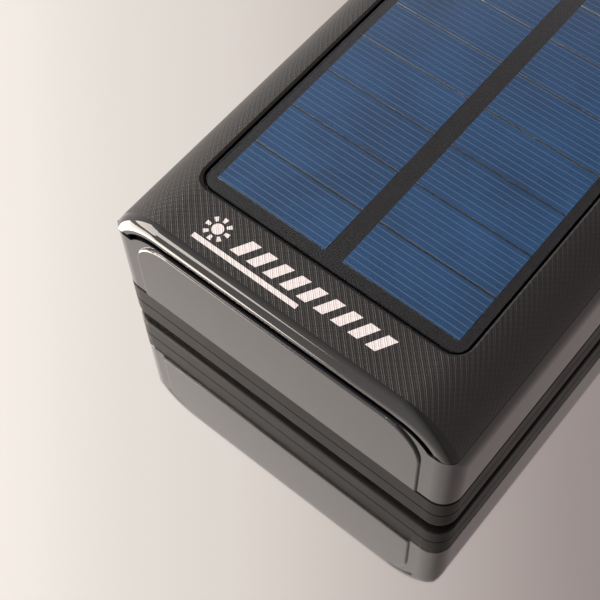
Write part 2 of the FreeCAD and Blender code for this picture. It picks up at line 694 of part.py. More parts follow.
def make_battery_leads():
    leads = []
    for x, z in lead_crossings():
        turn = V(x, PROTECTION_END + LEAD_REACH, z)
        foot = V(x, PROTECTION_END + LEAD_REACH, MAIN_BOARD_TOP)
        leads.append(tube([V(x, PROTECTION_END, z), turn, foot], WIRE_RADIUS, WIRE_BEND))
    return group(leads)


def make_main_board():
    half = MAIN_BOARD_HALF_WIDTH
    board = box((-half, half), (MAIN_BOARD_START, MAIN_BOARD_END), (MAIN_BOARD_BOTTOM, MAIN_BOARD_TOP))
    cuts = []
    notch = POST_BASE_RADIUS + POST_NOTCH_FIT
    for side in (-1, 1):
        x_span = sorted((side * (POST_X - notch), side * (half + 1)))
        cuts.append(box(x_span, (POST_Y - notch, MAIN_BOARD_END + 1), (0, HEIGHT)))
        cuts.append(upright(BOARD_SCREW_RADIUS + HOLE_FIT, side * STANDOFF_X, STANDOFF_Y, (0, HEIGHT)))
    return board.cut(cuts)


def make_board_screws():
    screws = []
    for side in (-1, 1):
        x = side * STANDOFF_X
        head = upright(BOARD_SCREW_HEAD, x, STANDOFF_Y, (MAIN_BOARD_TOP, MAIN_BOARD_TOP + 1.4))
        low = MAIN_BOARD_TOP - BOARD_SCREW_LENGTH
        shank = upright(BOARD_SCREW_RADIUS, x, STANDOFF_Y, (low, MAIN_BOARD_TOP + 0.5))
        slot = cross_slot(x, STANDOFF_Y, (MAIN_BOARD_TOP + 0.7, MAIN_BOARD_TOP + 2), 1.1)
        screws.append(join([head, shank]).cut(slot))
    return group(screws)


def on_board(size, x, y):
    """A block standing on the main board, given as width, depth and height."""
    width, depth, height = size
    z_span = (MAIN_BOARD_TOP, MAIN_BOARD_TOP + height)
    return box((x - width / 2, x + width / 2), (y - depth / 2, y + depth / 2), z_span)


def make_power_inductors():
    coils = []
    for x in (0.0, 9.5):
        coil = on_board((7.2, 7.2, 4.2), x, MAIN_BOARD_START + 5)
        coils.append(coil.makeFillet(0.8, [e for e in coil.Edges if e.BoundBox.ZLength > 1]))
    return group(coils)


def make_control_chips():
    places = ((-26.0, 12.0, 5.0), (-18.0, 3.6, 4.4), (16.8, 3.5, 3.6), (26.0, 12.5, 4.0))
    chips = [on_board((size, size, 0.9), x, MAIN_BOARD_START + y) for x, y, size in places]
    return group(chips)


def make_board_capacitors():
    cans = []
    for x, y in ((-6.2, 5.0), (20.0, 12.5)):
        z_span = (MAIN_BOARD_TOP, MAIN_BOARD_TOP + 5.6)
        cans.append(upright(1.8, x, MAIN_BOARD_START + y, z_span))
    return group(cans)


def socket_shell(x, size, depth, radius):
    """A thin metal sleeve open towards the socket end, closed at its rear."""
    half_x = size[0] / 2
    half_z = size[1] / 2
    middle = MAIN_BOARD_TOP + half_z
    span = (SOCKET_FACE - depth, SOCKET_FACE)
    sleeve = rounded_bar(x, middle, half_x, half_z, radius, span)
    bore = rounded_bar(
        x, middle, half_x - SHELL_WALL, half_z - SHELL_WALL, radius - SHELL_WALL,
        (span[0] + 2 * SHELL_WALL, span[1] + 1),
    )
    return sleeve.cut(bore)


def socket_tongue(x, size, depth, thickness, lift, inset):
    """The contact carrier inside a socket: a block at the rear with a tongue in front."""
    half_x = size[0] / 2 - SHELL_WALL - 0.1
    low = MAIN_BOARD_TOP + SHELL_WALL + 0.1
    high = MAIN_BOARD_TOP + size[1] - SHELL_WALL - 0.1
    rear = SOCKET_FACE - depth + 2 * SHELL_WALL
    block = box((x - half_x, x + half_x), (rear, rear + 1.6), (low, high))
    if min(size) < 4:
        half_z = (high - low) / 2
        block = rounded_bar(x, low + half_z, half_x, half_z, half_z - 0.02, (rear, rear + 1.6))
    tongue_low = low + lift
    x_half = half_x - inset
    z_span = (tongue_low, tongue_low + thickness)
    tongue = box((x - x_half, x + x_half), (rear + 1, SOCKET_FACE - 0.8), z_span)
    return join([block, tongue])


def make_usb_a_shells():
    return group([socket_shell(x, USB_A_SIZE, USB_A_DEPTH, 0.6) for x in USB_A_PLACES])


def make_usb_a_tongues():
    return group([socket_tongue(x, USB_A_SIZE, USB_A_DEPTH, 1.8, 2.9, 0.7) for x in USB_A_PLACES])


def make_usb_c_shell():
    return socket_shell(USB_C_PLACE, USB_C_SIZE, USB_C_DEPTH, USB_C_SIZE[1] / 2 - 0.02)


def make_usb_c_tongue():
    return socket_tongue(USB_C_PLACE, USB_C_SIZE, USB_C_DEPTH, 0.7, 0.85, 1.2)


def make_micro_usb_shell():
    return socket_shell(MICRO_PLACE, MICRO_SIZE, MICRO_DEPTH, 0.8)


def make_micro_usb_tongue():
    return socket_tongue(MICRO_PLACE, MICRO_SIZE, MICRO_DEPTH, 0.6, 0.9, 0.9)


def bezel_bar(grow, y_span):
    """The bezel's outline, larger all round by grow."""
    half_x = BEZEL_HALF_WIDTH + grow
    half_z = BEZEL_HALF_HEIGHT + grow
    return rounded_bar(0, BEZEL_MIDDLE, half_x, half_z, BEZEL_CORNER + grow, y_span)


def make_port_bezel():
    plate = bezel_bar(-BEZEL_FIT, (BEZEL_REAR, BEZEL_FACE))
    plate = plate.makeChamfer(EDGE_BREAK / 2, flat_ended(plate, BEZEL_FACE))
    flange = bezel_bar(BEZEL_FLANGE, (BEZEL_REAR, BEZEL_REAR + BEZEL_FLANGE_THICKNESS))
    pegs = []
    for x, lift in PEG_PLACES:
        pegs.append(lengthwise(PEG_RADIUS, x, UPPER_ROW + lift, (INDICATOR_BOARD_FRONT, BEZEL_REAR + 0.5)))
    bezel = join([plate, flange] + pegs)
    through = (BEZEL_REAR - 1, BEZEL_FACE + 1)
    sockets = [(x, USB_A_SIZE, 0.6) for x in USB_A_PLACES]
    sockets += [(USB_C_PLACE, USB_C_SIZE, USB_C_SIZE[1] / 2 - 0.02), (MICRO_PLACE, MICRO_SIZE, 0.8)]
    cuts = []
    for x, size, radius in sockets:
        half_x = size[0] / 2 + HOLE_FIT
        half_z = size[1] / 2 + HOLE_FIT
        cuts.append(rounded_bar(x, MAIN_BOARD_TOP + size[1] / 2, half_x, half_z, radius + HOLE_FIT, through))
    half_x = BUTTON_SIZE[0] / 2 + HOLE_FIT
    half_z = BUTTON_SIZE[1] / 2 + HOLE_FIT
    cuts.append(rounded_bar(BUTTON_PLACE, UPPER_ROW, half_x, half_z, half_z - 0.02, through))
    cuts.append(lengthwise(TORCH_RADIUS + HOLE_FIT, TORCH_PLACE, UPPER_ROW, through))
    for x in LED_PLACES:
        cuts.append(lengthwise(GUIDE_RADIUS + HOLE_FIT / 2, x, UPPER_ROW, through))
    return bezel.cut(cuts)


def make_indicator_board():
    half = INDICATOR_HALF_WIDTH
    z_span = (UPPER_ROW - INDICATOR_HEIGHT / 2, UPPER_ROW + INDICATOR_HEIGHT / 2)
    return box((-half, half), (INDICATOR_BOARD_REAR, INDICATOR_BOARD_FRONT), z_span)


def make_indicator_cable():
    x_span = (6.0, 14.0)
    rear = SOCKET_FACE - USB_A_DEPTH - 2.4
    height = UPPER_ROW - 2
    flat = box(x_span, (rear, INDICATOR_BOARD_REAR), (height, height + SHEET_THICKNESS))
    drop = box(x_span, (rear, rear + SHEET_THICKNESS), (MAIN_BOARD_TOP, height + SHEET_THICKNESS))
    return join([flat, drop])


def make_indicator_leds():
    width, depth, height = LED_SIZE
    leds = []
    y_span = (INDICATOR_BOARD_FRONT, INDICATOR_BOARD_FRONT + depth)
    z_span = (UPPER_ROW - height / 2, UPPER_ROW + height / 2)
    for x in LED_PLACES:
        leds.append(box((x - width / 2, x + width / 2), y_span, z_span))
    return group(leds)


def make_light_guide():
    rear = INDICATOR_BOARD_FRONT + LED_SIZE[1] + GUIDE_GAP
    pieces = []
    for x in LED_PLACES:
        pieces.append(lengthwise(GUIDE_RADIUS, x, UPPER_ROW, (rear, BEZEL_FACE - 0.1)))
    z_span = (UPPER_ROW - GUIDE_RADIUS, UPPER_ROW + GUIDE_RADIUS)
    margin = GUIDE_RADIUS + 0.4
    x_span = (LED_PLACES[0] - margin, LED_PLACES[-1] + margin)
    pieces.append(box(x_span, (BEZEL_REAR - GUIDE_BAR, BEZEL_REAR), z_span))
    return join(pieces)


def make_torch_led():
    half = TORCH_LED / 2
    front = INDICATOR_BOARD_FRONT
    base = box(
        (TORCH_PLACE - half, TORCH_PLACE + half), (front, front + 0.8), (UPPER_ROW - half, UPPER_ROW + half)
    )
    dome = Part.makeSphere(half * 0.75, V(TORCH_PLACE, front + 0.6, UPPER_ROW))
    behind = box((TORCH_PLACE - 5, TORCH_PLACE + 5), (front - 5, front + 0.4), (UPPER_ROW - 5, UPPER_ROW + 5))
    return join([base, dome.cut(behind)])


def make_torch_lens():
    rear = INDICATOR_BOARD_FRONT + 2.4
    face = BEZEL_FACE - 0.2
    stem = lengthwise(TORCH_RADIUS, TORCH_PLACE, UPPER_ROW, (rear, face))
    stem = stem.makeFillet(0.9, flat_ended(stem, face))
    collar = lengthwise(TORCH_RADIUS + 0.8, TORCH_PLACE, UPPER_ROW, (BEZEL_REAR - 1, BEZEL_REAR))
    return join([stem, collar])


def make_power_button():
    half_x = BUTTON_SIZE[0] / 2
    half_z = BUTTON_SIZE[1] / 2
    span = (BUTTON_REAR, BUTTON_FRONT)
    stem = rounded_bar(BUTTON_PLACE, UPPER_ROW, half_x, half_z, half_z - 0.02, span)
    stem = stem.makeFillet(0.35, flat_ended(stem, BUTTON_FRONT))
    grow = BUTTON_FLANGE
    flange = rounded_bar(
        BUTTON_PLACE, UPPER_ROW, half_x + grow, half_z + grow, half_z + grow - 0.02,
        (BUTTON_REAR, BUTTON_REAR + BUTTON_FLANGE_THICKNESS),
    )
    return join([stem, flange])


def switch_front():
    """The front face of the switch body, which the plunger stands out of."""
    return INDICATOR_BOARD_FRONT + SWITCH_DEPTH


def make_switch_body():
    half = SWITCH_SIZE / 2
    x_span = (BUTTON_PLACE - half, BUTTON_PLACE + half)
    body = box(x_span, (INDICATOR_BOARD_FRONT, switch_front()), (UPPER_ROW - half, UPPER_ROW + half))
    bore = lengthwise(
        PLUNGER_RADIUS + PLUNGER_FIT, BUTTON_PLACE, UPPER_ROW, (switch_front() - 1.2, switch_front() + 1)
    )
    return body.cut(bore)


def make_switch_plunger():
    start = switch_front() - 1.2 + BUTTON_TRAVEL + 0.2
    return lengthwise(PLUNGER_RADIUS, BUTTON_PLACE, UPPER_ROW, (start, BUTTON_REAR))


def nodes():
    """Every sub-part by name."""
    shapes = {
        "top_cover": make_top_cover(),
        "texture_skin": make_texture_skin(),
        "panel_tape": make_panel_tape(),
        "panel_board": make_panel_board(),
        "solar_cells_left": make_solar_cells(-1),
        "solar_cells_right": make_solar_cells(1),
        "panel_film": make_panel_film(),
        "panel_leads": make_panel_leads(),
        "main_housing": make_main_housing(),
        "bottom_cover": make_bottom_cover(),
        "rubber_feet": make_rubber_feet(),
        "bottom_screws": make_bottom_screws(),
        "cell_tapes": make_cell_tapes(),
        "cell_foam": make_cell_foam(),
        "cell_tabs": make_cell_tabs(),
        "protection_board": make_protection_board(),
        "insulating_sheet": make_insulating_sheet(),
        "battery_leads": make_battery_leads(),
        "main_board": make_main_board(),
        "board_screws": make_board_screws(),
        "power_inductors": make_power_inductors(),
        "control_chips": make_control_chips(),
        "board_capacitors": make_board_capacitors(),
        "usb_a_shells": make_usb_a_shells(),
        "usb_a_tongues": make_usb_a_tongues(),
        "usb_c_shell": make_usb_c_shell(),
        "usb_c_tongue": make_usb_c_tongue(),
        "micro_usb_shell": make_micro_usb_shell(),
        "micro_usb_tongue": make_micro_usb_tongue(),
        "port_bezel": make_port_bezel(),
        "indicator_board": make_indicator_board(),
        "indicator_cable": make_indicator_cable(),
        "indicator_leds": make_indicator_leds(),
        "light_guide": make_light_guide(),
        "torch_led": make_torch_led(),
        "torch_lens": make_torch_lens(),
        "power_button": make_power_button(),
        "switch_body": make_switch_body(),
        "switch_plunger": make_switch_plunger(),
    }
    for index, name in enumerate(BATTERY_CELLS):
        shapes["battery_cell_" + name] = make_battery_cell(index)
    return shapes


os.makedirs("parts", exist_ok=True)
for node, shape in nodes().items():
    shape.exportStep("parts/" + node + ".step")
    print(node, len(shape.Solids), "valid" if shape.isValid() else "INVALID", round(shape.Volume, 1))
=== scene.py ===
"""Looks for a solar power bank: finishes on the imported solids, fine surface pieces, and a small studio."""

import logging
import math
from dataclasses import dataclass, field
from enum import Enum
from typing import Any, Dict, List, Optional, Tuple, Union

import bmesh
import bpy
from mathutils import Matrix, Vector

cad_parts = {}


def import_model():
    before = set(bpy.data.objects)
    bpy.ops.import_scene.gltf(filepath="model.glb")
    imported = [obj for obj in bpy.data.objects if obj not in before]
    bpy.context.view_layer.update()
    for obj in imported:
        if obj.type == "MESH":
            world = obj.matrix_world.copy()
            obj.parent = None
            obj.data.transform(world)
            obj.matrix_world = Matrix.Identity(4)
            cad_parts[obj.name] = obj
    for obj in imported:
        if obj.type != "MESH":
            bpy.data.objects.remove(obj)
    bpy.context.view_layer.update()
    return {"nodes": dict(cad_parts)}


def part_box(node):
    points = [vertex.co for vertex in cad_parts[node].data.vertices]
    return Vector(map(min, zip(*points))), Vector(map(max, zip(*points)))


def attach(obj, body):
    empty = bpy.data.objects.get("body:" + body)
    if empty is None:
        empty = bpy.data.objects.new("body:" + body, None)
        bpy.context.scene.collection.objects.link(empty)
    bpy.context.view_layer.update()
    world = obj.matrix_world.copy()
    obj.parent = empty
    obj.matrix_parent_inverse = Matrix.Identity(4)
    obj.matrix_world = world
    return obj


LOG = logging.getLogger("power_bank")
MM = 0.001

Number = Union[float, int]
Triple = Tuple[float, float, float]
Source = Union[bpy.types.NodeSocket, Number, Tuple[float, ...], str]


class Body(Enum):
    """The two rigid bodies that pieces ride on."""

    HOUSING = "housing"
    BUTTON = "button"


def linear(code: str, alpha: float = 1.0) -> Tuple[float, float, float, float]:
    """Turns an sRGB hex colour into linear values.

    Args:
        code: six hex digits.
        alpha: the fourth value.

    Returns:
        Linear red, green, blue and alpha.
    """
    values = []
    for start in (0, 2, 4):
        part = int(code[start:start + 2], 16) / 255.0
        values.append(part / 12.92 if part <= 0.04045 else ((part + 0.055) / 1.055) ** 2.4)
    return values[0], values[1], values[2], alpha


class Graph:
    """A material's node tree, filled one node at a time."""

    def __init__(self, tree: bpy.types.NodeTree) -> None:
        """Empties the tree.

        Args:
            tree: the tree to fill.
        """
        self.tree = tree
        tree.nodes.clear()

    def add(self, kind: str, settings: Optional[Dict[str, Any]] = None, **links: Source) -> bpy.types.Node:
        """Adds a node with its settings and links.

        Args:
            kind: the node's type name.
            settings: attributes of the node itself.
            links: input sockets by name, with spaces as underscores, or by number as i0, i1 and so on.

        Returns:
            The new node.
        """
        node = self.tree.nodes.new(kind)
        for name, value in (settings or {}).items():
            setattr(node, name, value)
        for name, source in links.items():
            numbered = name[0] == "i" and name[1:].isdigit()
            socket = node.inputs[int(name[1:])] if numbered else node.inputs[name.replace("_", " ")]
            if isinstance(source, bpy.types.NodeSocket):
                self.tree.links.new(source, socket)
            else:
                socket.default_value = source
        return node


@dataclass(frozen=True)
class Grain:
    """The fine relief that a mould or a coating leaves on a surface."""

    size_mm: float
    height_mm: float
    strength: float = 1.0


@dataclass(frozen=True)
class Finish:
    """A plain finish: one colour with a little variation, and a fine grain."""

    name: str
    colour: str
    roughness: float
    metallic: float = 0.0
    ior: float = 1.5
    variation: float = 0.12
    roughness_spread: float = 0.04
    blotch_mm: float = 6.0
    gloss_patch: float = 2.2
    grain: Optional[Grain] = None
    transmission: float = 0.0

    def place(self, graph: Graph) -> bpy.types.NodeSocket:
        """Gives the point on the surface, in metres.

        Args:
            graph: the tree to add to.

        Returns:
            The coordinate output.
        """
        return graph.add("ShaderNodeTexCoord").outputs["Object"]

    def tint(self, graph: Graph, place: bpy.types.NodeSocket) -> bpy.types.NodeSocket:
        """Colours the surface, a little lighter or darker from place to place.

        Args:
            graph: the tree to add to.
            place: the point on the surface.

        Returns:
            The colour output.
        """
        blotches = graph.add(
            "ShaderNodeTexNoise", Vector=place, Scale=1.0 / (self.blotch_mm * MM), Detail=3.0, Roughness=0.6
        )
        base = linear(self.colour)
        dark = tuple(c * (1 - self.variation) for c in base[:3]) + (1.0,)
        light = tuple(min(1.0, c * (1 + self.variation)) for c in base[:3]) + (1.0,)
        mix = graph.add(
            "ShaderNodeMix", {"data_type": "RGBA"}, i0=blotches.outputs["Fac"], i6=dark, i7=light
        )
        return mix.outputs[2]

    def relief(self, graph: Graph, place: bpy.types.NodeSocket) -> Optional[bpy.types.NodeSocket]:
        """Raises the grain.

        Args:
            graph: the tree to add to.
            place: the point on the surface.

        Returns:
            The normal output, or None for a surface with no grain.
        """
        if self.grain is None:
            return None
        bumps = graph.add(
            "ShaderNodeTexNoise", Vector=place, Scale=1.0 / (self.grain.size_mm * MM), Detail=2.0
        )
        bump = graph.add(
            "ShaderNodeBump", Strength=self.grain.strength, Distance=self.grain.height_mm * MM,
            Height=bumps.outputs["Fac"],
        )
        return bump.outputs["Normal"]

    def gloss(self, graph: Graph, place: bpy.types.NodeSocket) -> bpy.types.NodeSocket:
        """Varies the roughness slightly, as handling and moulding do.

        Args:
            graph: the tree to add to.
            place: the point on the surface.

        Returns:
            The roughness output.
        """
        patch = self.gloss_patch * self.blotch_mm * MM
        noise = graph.add("ShaderNodeTexNoise", Vector=place, Scale=1.0 / patch, Detail=4.0)
        low = max(0.0, self.roughness - self.roughness_spread)
        high = self.roughness + self.roughness_spread
        spread = graph.add(
            "ShaderNodeMapRange", Value=noise.outputs["Fac"], From_Min=0.3, From_Max=0.7, To_Min=low,
            To_Max=high,
        )
        return spread.outputs["Result"]

    def material(self) -> bpy.types.Material:
        """Builds the material, once for each finish.

        Returns:
            The Blender material.
        """
        found = bpy.data.materials.get(self.name)
        if found is not None:
            return found
        made = bpy.data.materials.new(self.name)
        made.use_nodes = True
        graph = Graph(made.node_tree)
        place = self.place(graph)
        shader = graph.add(
            "ShaderNodeBsdfPrincipled", Metallic=self.metallic, IOR=self.ior,
            Transmission_Weight=self.transmission, Base_Color=self.tint(graph, place),
            Roughness=self.gloss(graph, place),
        )
        normal = self.relief(graph, place)
        if normal is not None:
            made.node_tree.links.new(normal, shader.inputs["Normal"])
        graph.add("ShaderNodeOutputMaterial", Surface=shader.outputs["BSDF"])
        return made


@dataclass(frozen=True)
class CrossHatch(Finish):
    """Pressed artificial leather: fine diagonal ribs crossed by wider ones, under a satin lacquer.

    The ribs catch light in broken lines, so the surface reads grey from one side and black from another.
    """

    rib_mm: float = 0.36
    cross_rib_mm: float = 0.3888
    band_mm: float = 1.1
    band_power: float = 0.7
    rib_degrees: float = 45.0
    cross_degrees: float = -51.0
    depth_mm: float = 0.05
    relief_strength: float = 0.9
    print_colour: str = "bfbabc"
    top_mm: float = 38.4
    # Painted shade: the colour of the valleys between the ribs, darker than the rib tops.
    painted_valley_shade_colour: str = "040404"
    sun_mm: Tuple[float, float] = (-18.8, -72.2)
    sun_radius_mm: float = 1.15
    ray_middle_mm: float = 2.1
    ray_half_mm: float = 0.5
    ray_count: float = 8.0
    ray_threshold: float = 0.2
    bar_middle_mm: Tuple[float, float] = (-9.85, -75.65)
    bar_half_mm: Tuple[float, float] = (11.75, 0.5)
    stripe_half_mm: float = 1.9
    stripe_slant: float = -0.55
    stripe_start_mm: float = -13.4
    stripe_pitch_mm: float = 3.7
    stripe_share: float = 0.56
    stripe_count: int = 9

    def stripes(
        self, graph: Graph, place: bpy.types.NodeSocket, pitch_mm: float, degrees: float, power: float
    ) -> bpy.types.NodeSocket:
        """Makes a family of parallel ribs.

        Args:
            graph: the tree to add to.
            place: the point on the surface.
            pitch_mm: distance from rib to rib.
            degrees: direction that the ribs repeat in.
            power: above one narrows the ribs.

        Returns:
            The rib height, from 0 to 1.
        """
        angle = math.radians(degrees)
        across = (math.cos(angle), math.sin(angle), 0.0)
        along = graph.add("ShaderNodeVectorMath", {"operation": "DOT_PRODUCT"}, i0=place, i1=across)
        rate = 2 * math.pi / (pitch_mm * MM)
        turns = graph.add("ShaderNodeMath", {"operation": "MULTIPLY"}, i0=along.outputs["Value"], i1=rate)
        wave = graph.add("ShaderNodeMath", {"operation": "SINE"}, i0=turns.outputs[0])
        height = graph.add(
            "ShaderNodeMath", {"operation": "MULTIPLY_ADD"}, i0=wave.outputs[0], i1=0.5, i2=0.5
        )
        return graph.add("ShaderNodeMath", {"operation": "POWER"}, i0=height.outputs[0], i1=power).outputs[0]

    def unrolled(self, graph: Graph, place: bpy.types.NodeSocket) -> bpy.types.NodeSocket:
        """Lays the shoulders out flat, so that the ribs keep their spacing as they turn down the sides.

        Args:
            graph: the tree to add to.
            place: the point on the surface.

        Returns:
            The point on the flat sheet that the skin was cut from.
        """
        split = graph.add("ShaderNodeSeparateXYZ", Vector=place)
        side = graph.add("ShaderNodeMath", {"operation": "SIGN"}, i0=split.outputs["X"])
        drop = graph.add(
            "ShaderNodeMath", {"operation": "SUBTRACT"}, i0=self.top_mm * MM, i1=split.outputs["Z"]
        )
        across = graph.add(
            "ShaderNodeMath", {"operation": "MULTIPLY_ADD"}, i0=side.outputs[0], i1=drop.outputs[0],
            i2=split.outputs["X"],
        )
        return graph.add("ShaderNodeCombineXYZ", X=across.outputs[0], Y=split.outputs["Y"]).outputs[0]

    def weave(self, graph: Graph, place: bpy.types.NodeSocket) -> bpy.types.NodeSocket:
        """Crosses the two families of ribs.

        Args:
            graph: the tree to add to.
            place: the point on the surface.

        Returns:
            The height of the pattern, from 0 to 1.
        """
        fine = self.stripes(graph, place, self.rib_mm, self.rib_degrees, 1.0)
        fine_gate = self.stripes(graph, place, self.band_mm, self.rib_degrees, self.band_power)
        cross = self.stripes(graph, place, self.cross_rib_mm, self.cross_degrees, 1.0)
        cross_gate = self.stripes(graph, place, self.band_mm, self.cross_degrees, self.band_power)
        first = graph.add("ShaderNodeMath", {"operation": "MULTIPLY"}, i0=fine, i1=fine_gate)
        second = graph.add("ShaderNodeMath", {"operation": "MULTIPLY"}, i0=cross, i1=cross_gate)
        return graph.add(
            "ShaderNodeMath", {"operation": "ADD"}, i0=first.outputs[0], i1=second.outputs[0]
        ).outputs[0]

    def printed(self, graph: Graph, place: bpy.types.NodeSocket) -> bpy.types.NodeSocket:
        """Marks where the white print lies: a small sun, slanted stripes and a plain bar.

        Args:
            graph: the tree to add to.
            place: the point on the surface.

        Returns:
            1 on the print and 0 off it.
        """
        split = graph.add("ShaderNodeSeparateXYZ", Vector=place)
        x, y = split.outputs["X"], split.outputs["Y"]

        def slab(value: bpy.types.NodeSocket, middle: float, half: float) -> bpy.types.NodeSocket:
            """1 within half of middle."""
            off = graph.add("ShaderNodeMath", {"operation": "SUBTRACT"}, i0=value, i1=middle * MM)
            size = graph.add("ShaderNodeMath", {"operation": "ABSOLUTE"}, i0=off.outputs[0])
            return graph.add(
                "ShaderNodeMath", {"operation": "LESS_THAN"}, i0=size.outputs[0], i1=half * MM
            ).outputs[0]

        def both(first: bpy.types.NodeSocket, second: bpy.types.NodeSocket) -> bpy.types.NodeSocket:
            """1 where both are 1."""
            return graph.add("ShaderNodeMath", {"operation": "MULTIPLY"}, i0=first, i1=second).outputs[0]

        def either(first: bpy.types.NodeSocket, second: bpy.types.NodeSocket) -> bpy.types.NodeSocket:
            """1 where one of them is 1."""
            return graph.add("ShaderNodeMath", {"operation": "MAXIMUM"}, i0=first, i1=second).outputs[0]

        sun_x, sun_y = self.sun_mm
        lift = graph.add("ShaderNodeMath", {"operation": "SUBTRACT"}, i0=y, i1=sun_y * MM)
        slant = graph.add(
            "ShaderNodeMath", {"operation": "MULTIPLY_ADD"}, i0=lift.outputs[0], i1=self.stripe_slant, i2=x
        )
        along = graph.add(
            "ShaderNodeMath", {"operation": "SUBTRACT"}, i0=slant.outputs[0], i1=self.stripe_start_mm * MM
        )
        turns = graph.add(
            "ShaderNodeMath", {"operation": "DIVIDE"}, i0=along.outputs[0], i1=self.stripe_pitch_mm * MM
        )
        part = graph.add("ShaderNodeMath", {"operation": "FRACT"}, i0=turns.outputs[0])
        stripe = graph.add(
            "ShaderNodeMath", {"operation": "LESS_THAN"}, i0=part.outputs[0], i1=self.stripe_share
        )
        row = (self.stripe_count - 1 + self.stripe_share) * self.stripe_pitch_mm
        strip = both(
            slab(along.outputs[0], row / 2, row / 2), slab(lift.outputs[0], 0.0, self.stripe_half_mm)
        )
        mark = both(strip, stripe.outputs[0])

        flat = graph.add("ShaderNodeCombineXYZ", X=x, Y=y)
        centre = graph.add(
            "ShaderNodeVectorMath", {"operation": "SUBTRACT"}, i0=flat.outputs[0],
            i1=(sun_x * MM, sun_y * MM, 0.0),
        )
        size = graph.add("ShaderNodeVectorMath", {"operation": "LENGTH"}, i0=centre.outputs[0])
        far = size.outputs["Value"]
        disc = slab(far, 0.0, self.sun_radius_mm)
        band = slab(far, self.ray_middle_mm, self.ray_half_mm)
        spoke = graph.add("ShaderNodeSeparateXYZ", Vector=centre.outputs[0])
        turn = graph.add(
            "ShaderNodeMath", {"operation": "ARCTAN2"}, i0=spoke.outputs["Y"], i1=spoke.outputs["X"]
        )
        wave = graph.add("ShaderNodeMath", {"operation": "MULTIPLY"}, i0=turn.outputs[0], i1=self.ray_count)
        beat = graph.add("ShaderNodeMath", {"operation": "COSINE"}, i0=wave.outputs[0])
        ray = graph.add(
            "ShaderNodeMath", {"operation": "GREATER_THAN"}, i0=beat.outputs[0], i1=self.ray_threshold
        )
        sun = either(disc, both(band, ray.outputs[0]))
        (bar_x, bar_y), (half_x, half_y) = self.bar_middle_mm, self.bar_half_mm
        bar = both(slab(x, bar_x, half_x), slab(y, bar_y, half_y))
        return either(either(mark, sun), bar)

    def material(self) -> bpy.types.Material:
        """Builds the pressed leather with its print.

        Returns:
            The Blender material.
        """
        made = bpy.data.materials.new(self.name)
        made.use_nodes = True
        graph = Graph(made.node_tree)
        place = self.place(graph)
        weave = self.weave(graph, self.unrolled(graph, place))
        printed = self.printed(graph, place)
        # The valleys are painted darker than the rib tops: painted shade in the valleys between the ribs.
        valley, rib = linear(self.painted_valley_shade_colour), linear(self.colour)
        shade = graph.add("ShaderNodeMix", {"data_type": "RGBA"}, i0=weave, i6=valley, i7=rib)
        ink = linear(self.print_colour)
        colour = graph.add(
            "ShaderNodeMix", {"data_type": "RGBA"}, i0=printed, i6=shade.outputs[2], i7=ink
        )
        bump = graph.add(
            "ShaderNodeBump", Strength=self.relief_strength, Distance=self.depth_mm * MM, Height=weave
        )
        shader = graph.add(
            "ShaderNodeBsdfPrincipled", IOR=self.ior, Base_Color=colour.outputs[2],
            Roughness=self.gloss(graph, place), Normal=bump.outputs["Normal"],
        )
        graph.add("ShaderNodeOutputMaterial", Surface=shader.outputs["BSDF"])
        return made


@dataclass(frozen=True)
class SolarCell(Finish):
    """Screen-printed silicon: slate blue crystal with fine silver fingers across each cell."""

    finger_pitch_mm: float = 1.3
    finger_width_mm: float = 0.12
    finger_colour: str = "6f8fb2"
    crystal_mm: float = 7.0
    crystal_share: float = 0.18
    cloud_mm: float = 18.0
    deep_colour: str = "17456f"

    def material(self) -> bpy.types.Material:
        """Builds the cell with its printed fingers.

        Returns:
            The Blender material.
        """
        made = bpy.data.materials.new(self.name)
        made.use_nodes = True
        graph = Graph(made.node_tree)
        place = self.place(graph)
        split = graph.add("ShaderNodeSeparateXYZ", Vector=place)
        count = graph.add(
            "ShaderNodeMath", {"operation": "DIVIDE"}, i0=split.outputs["Y"], i1=self.finger_pitch_mm * MM
        )
        fraction = graph.add("ShaderNodeMath", {"operation": "FRACT"}, i0=count.outputs[0])
        centred = graph.add("ShaderNodeMath", {"operation": "SUBTRACT"}, i0=fraction.outputs[0], i1=0.5)
        off = graph.add("ShaderNodeMath", {"operation": "ABSOLUTE"}, i0=centred.outputs[0])
        finger = graph.add(
            "ShaderNodeMath", {"operation": "LESS_THAN"}, i0=off.outputs[0],
            i1=0.5 * self.finger_width_mm / self.finger_pitch_mm,
        )
        crystal = graph.add(
            "ShaderNodeTexVoronoi", Vector=place, Scale=1.0 / (self.crystal_mm * MM), Randomness=1.0
        )
        cloud = graph.add("ShaderNodeTexNoise", Vector=place, Scale=1.0 / (self.cloud_mm * MM), Detail=2.0)
        facet = graph.add("ShaderNodeSeparateColor", Color=crystal.outputs["Color"])
        blend = graph.add(
            "ShaderNodeMath", {"operation": "MULTIPLY_ADD"}, i0=facet.outputs[0], i1=self.crystal_share,
            i2=cloud.outputs["Fac"],
        )
        blue = graph.add(
            "ShaderNodeMix", {"data_type": "RGBA"}, i0=blend.outputs[0], i6=linear(self.deep_colour),
            i7=linear(self.colour),
        )
        colour = graph.add(
            "ShaderNodeMix", {"data_type": "RGBA"}, i0=finger.outputs[0], i6=blue.outputs[2],
            i7=linear(self.finger_colour),
        )
        shader = graph.add(
            "ShaderNodeBsdfPrincipled", IOR=self.ior, Base_Color=colour.outputs[2],
            Roughness=self.gloss(graph, place), Metallic=self.metallic,
        )
        graph.add("ShaderNodeOutputMaterial", Surface=shader.outputs["BSDF"])
        return made


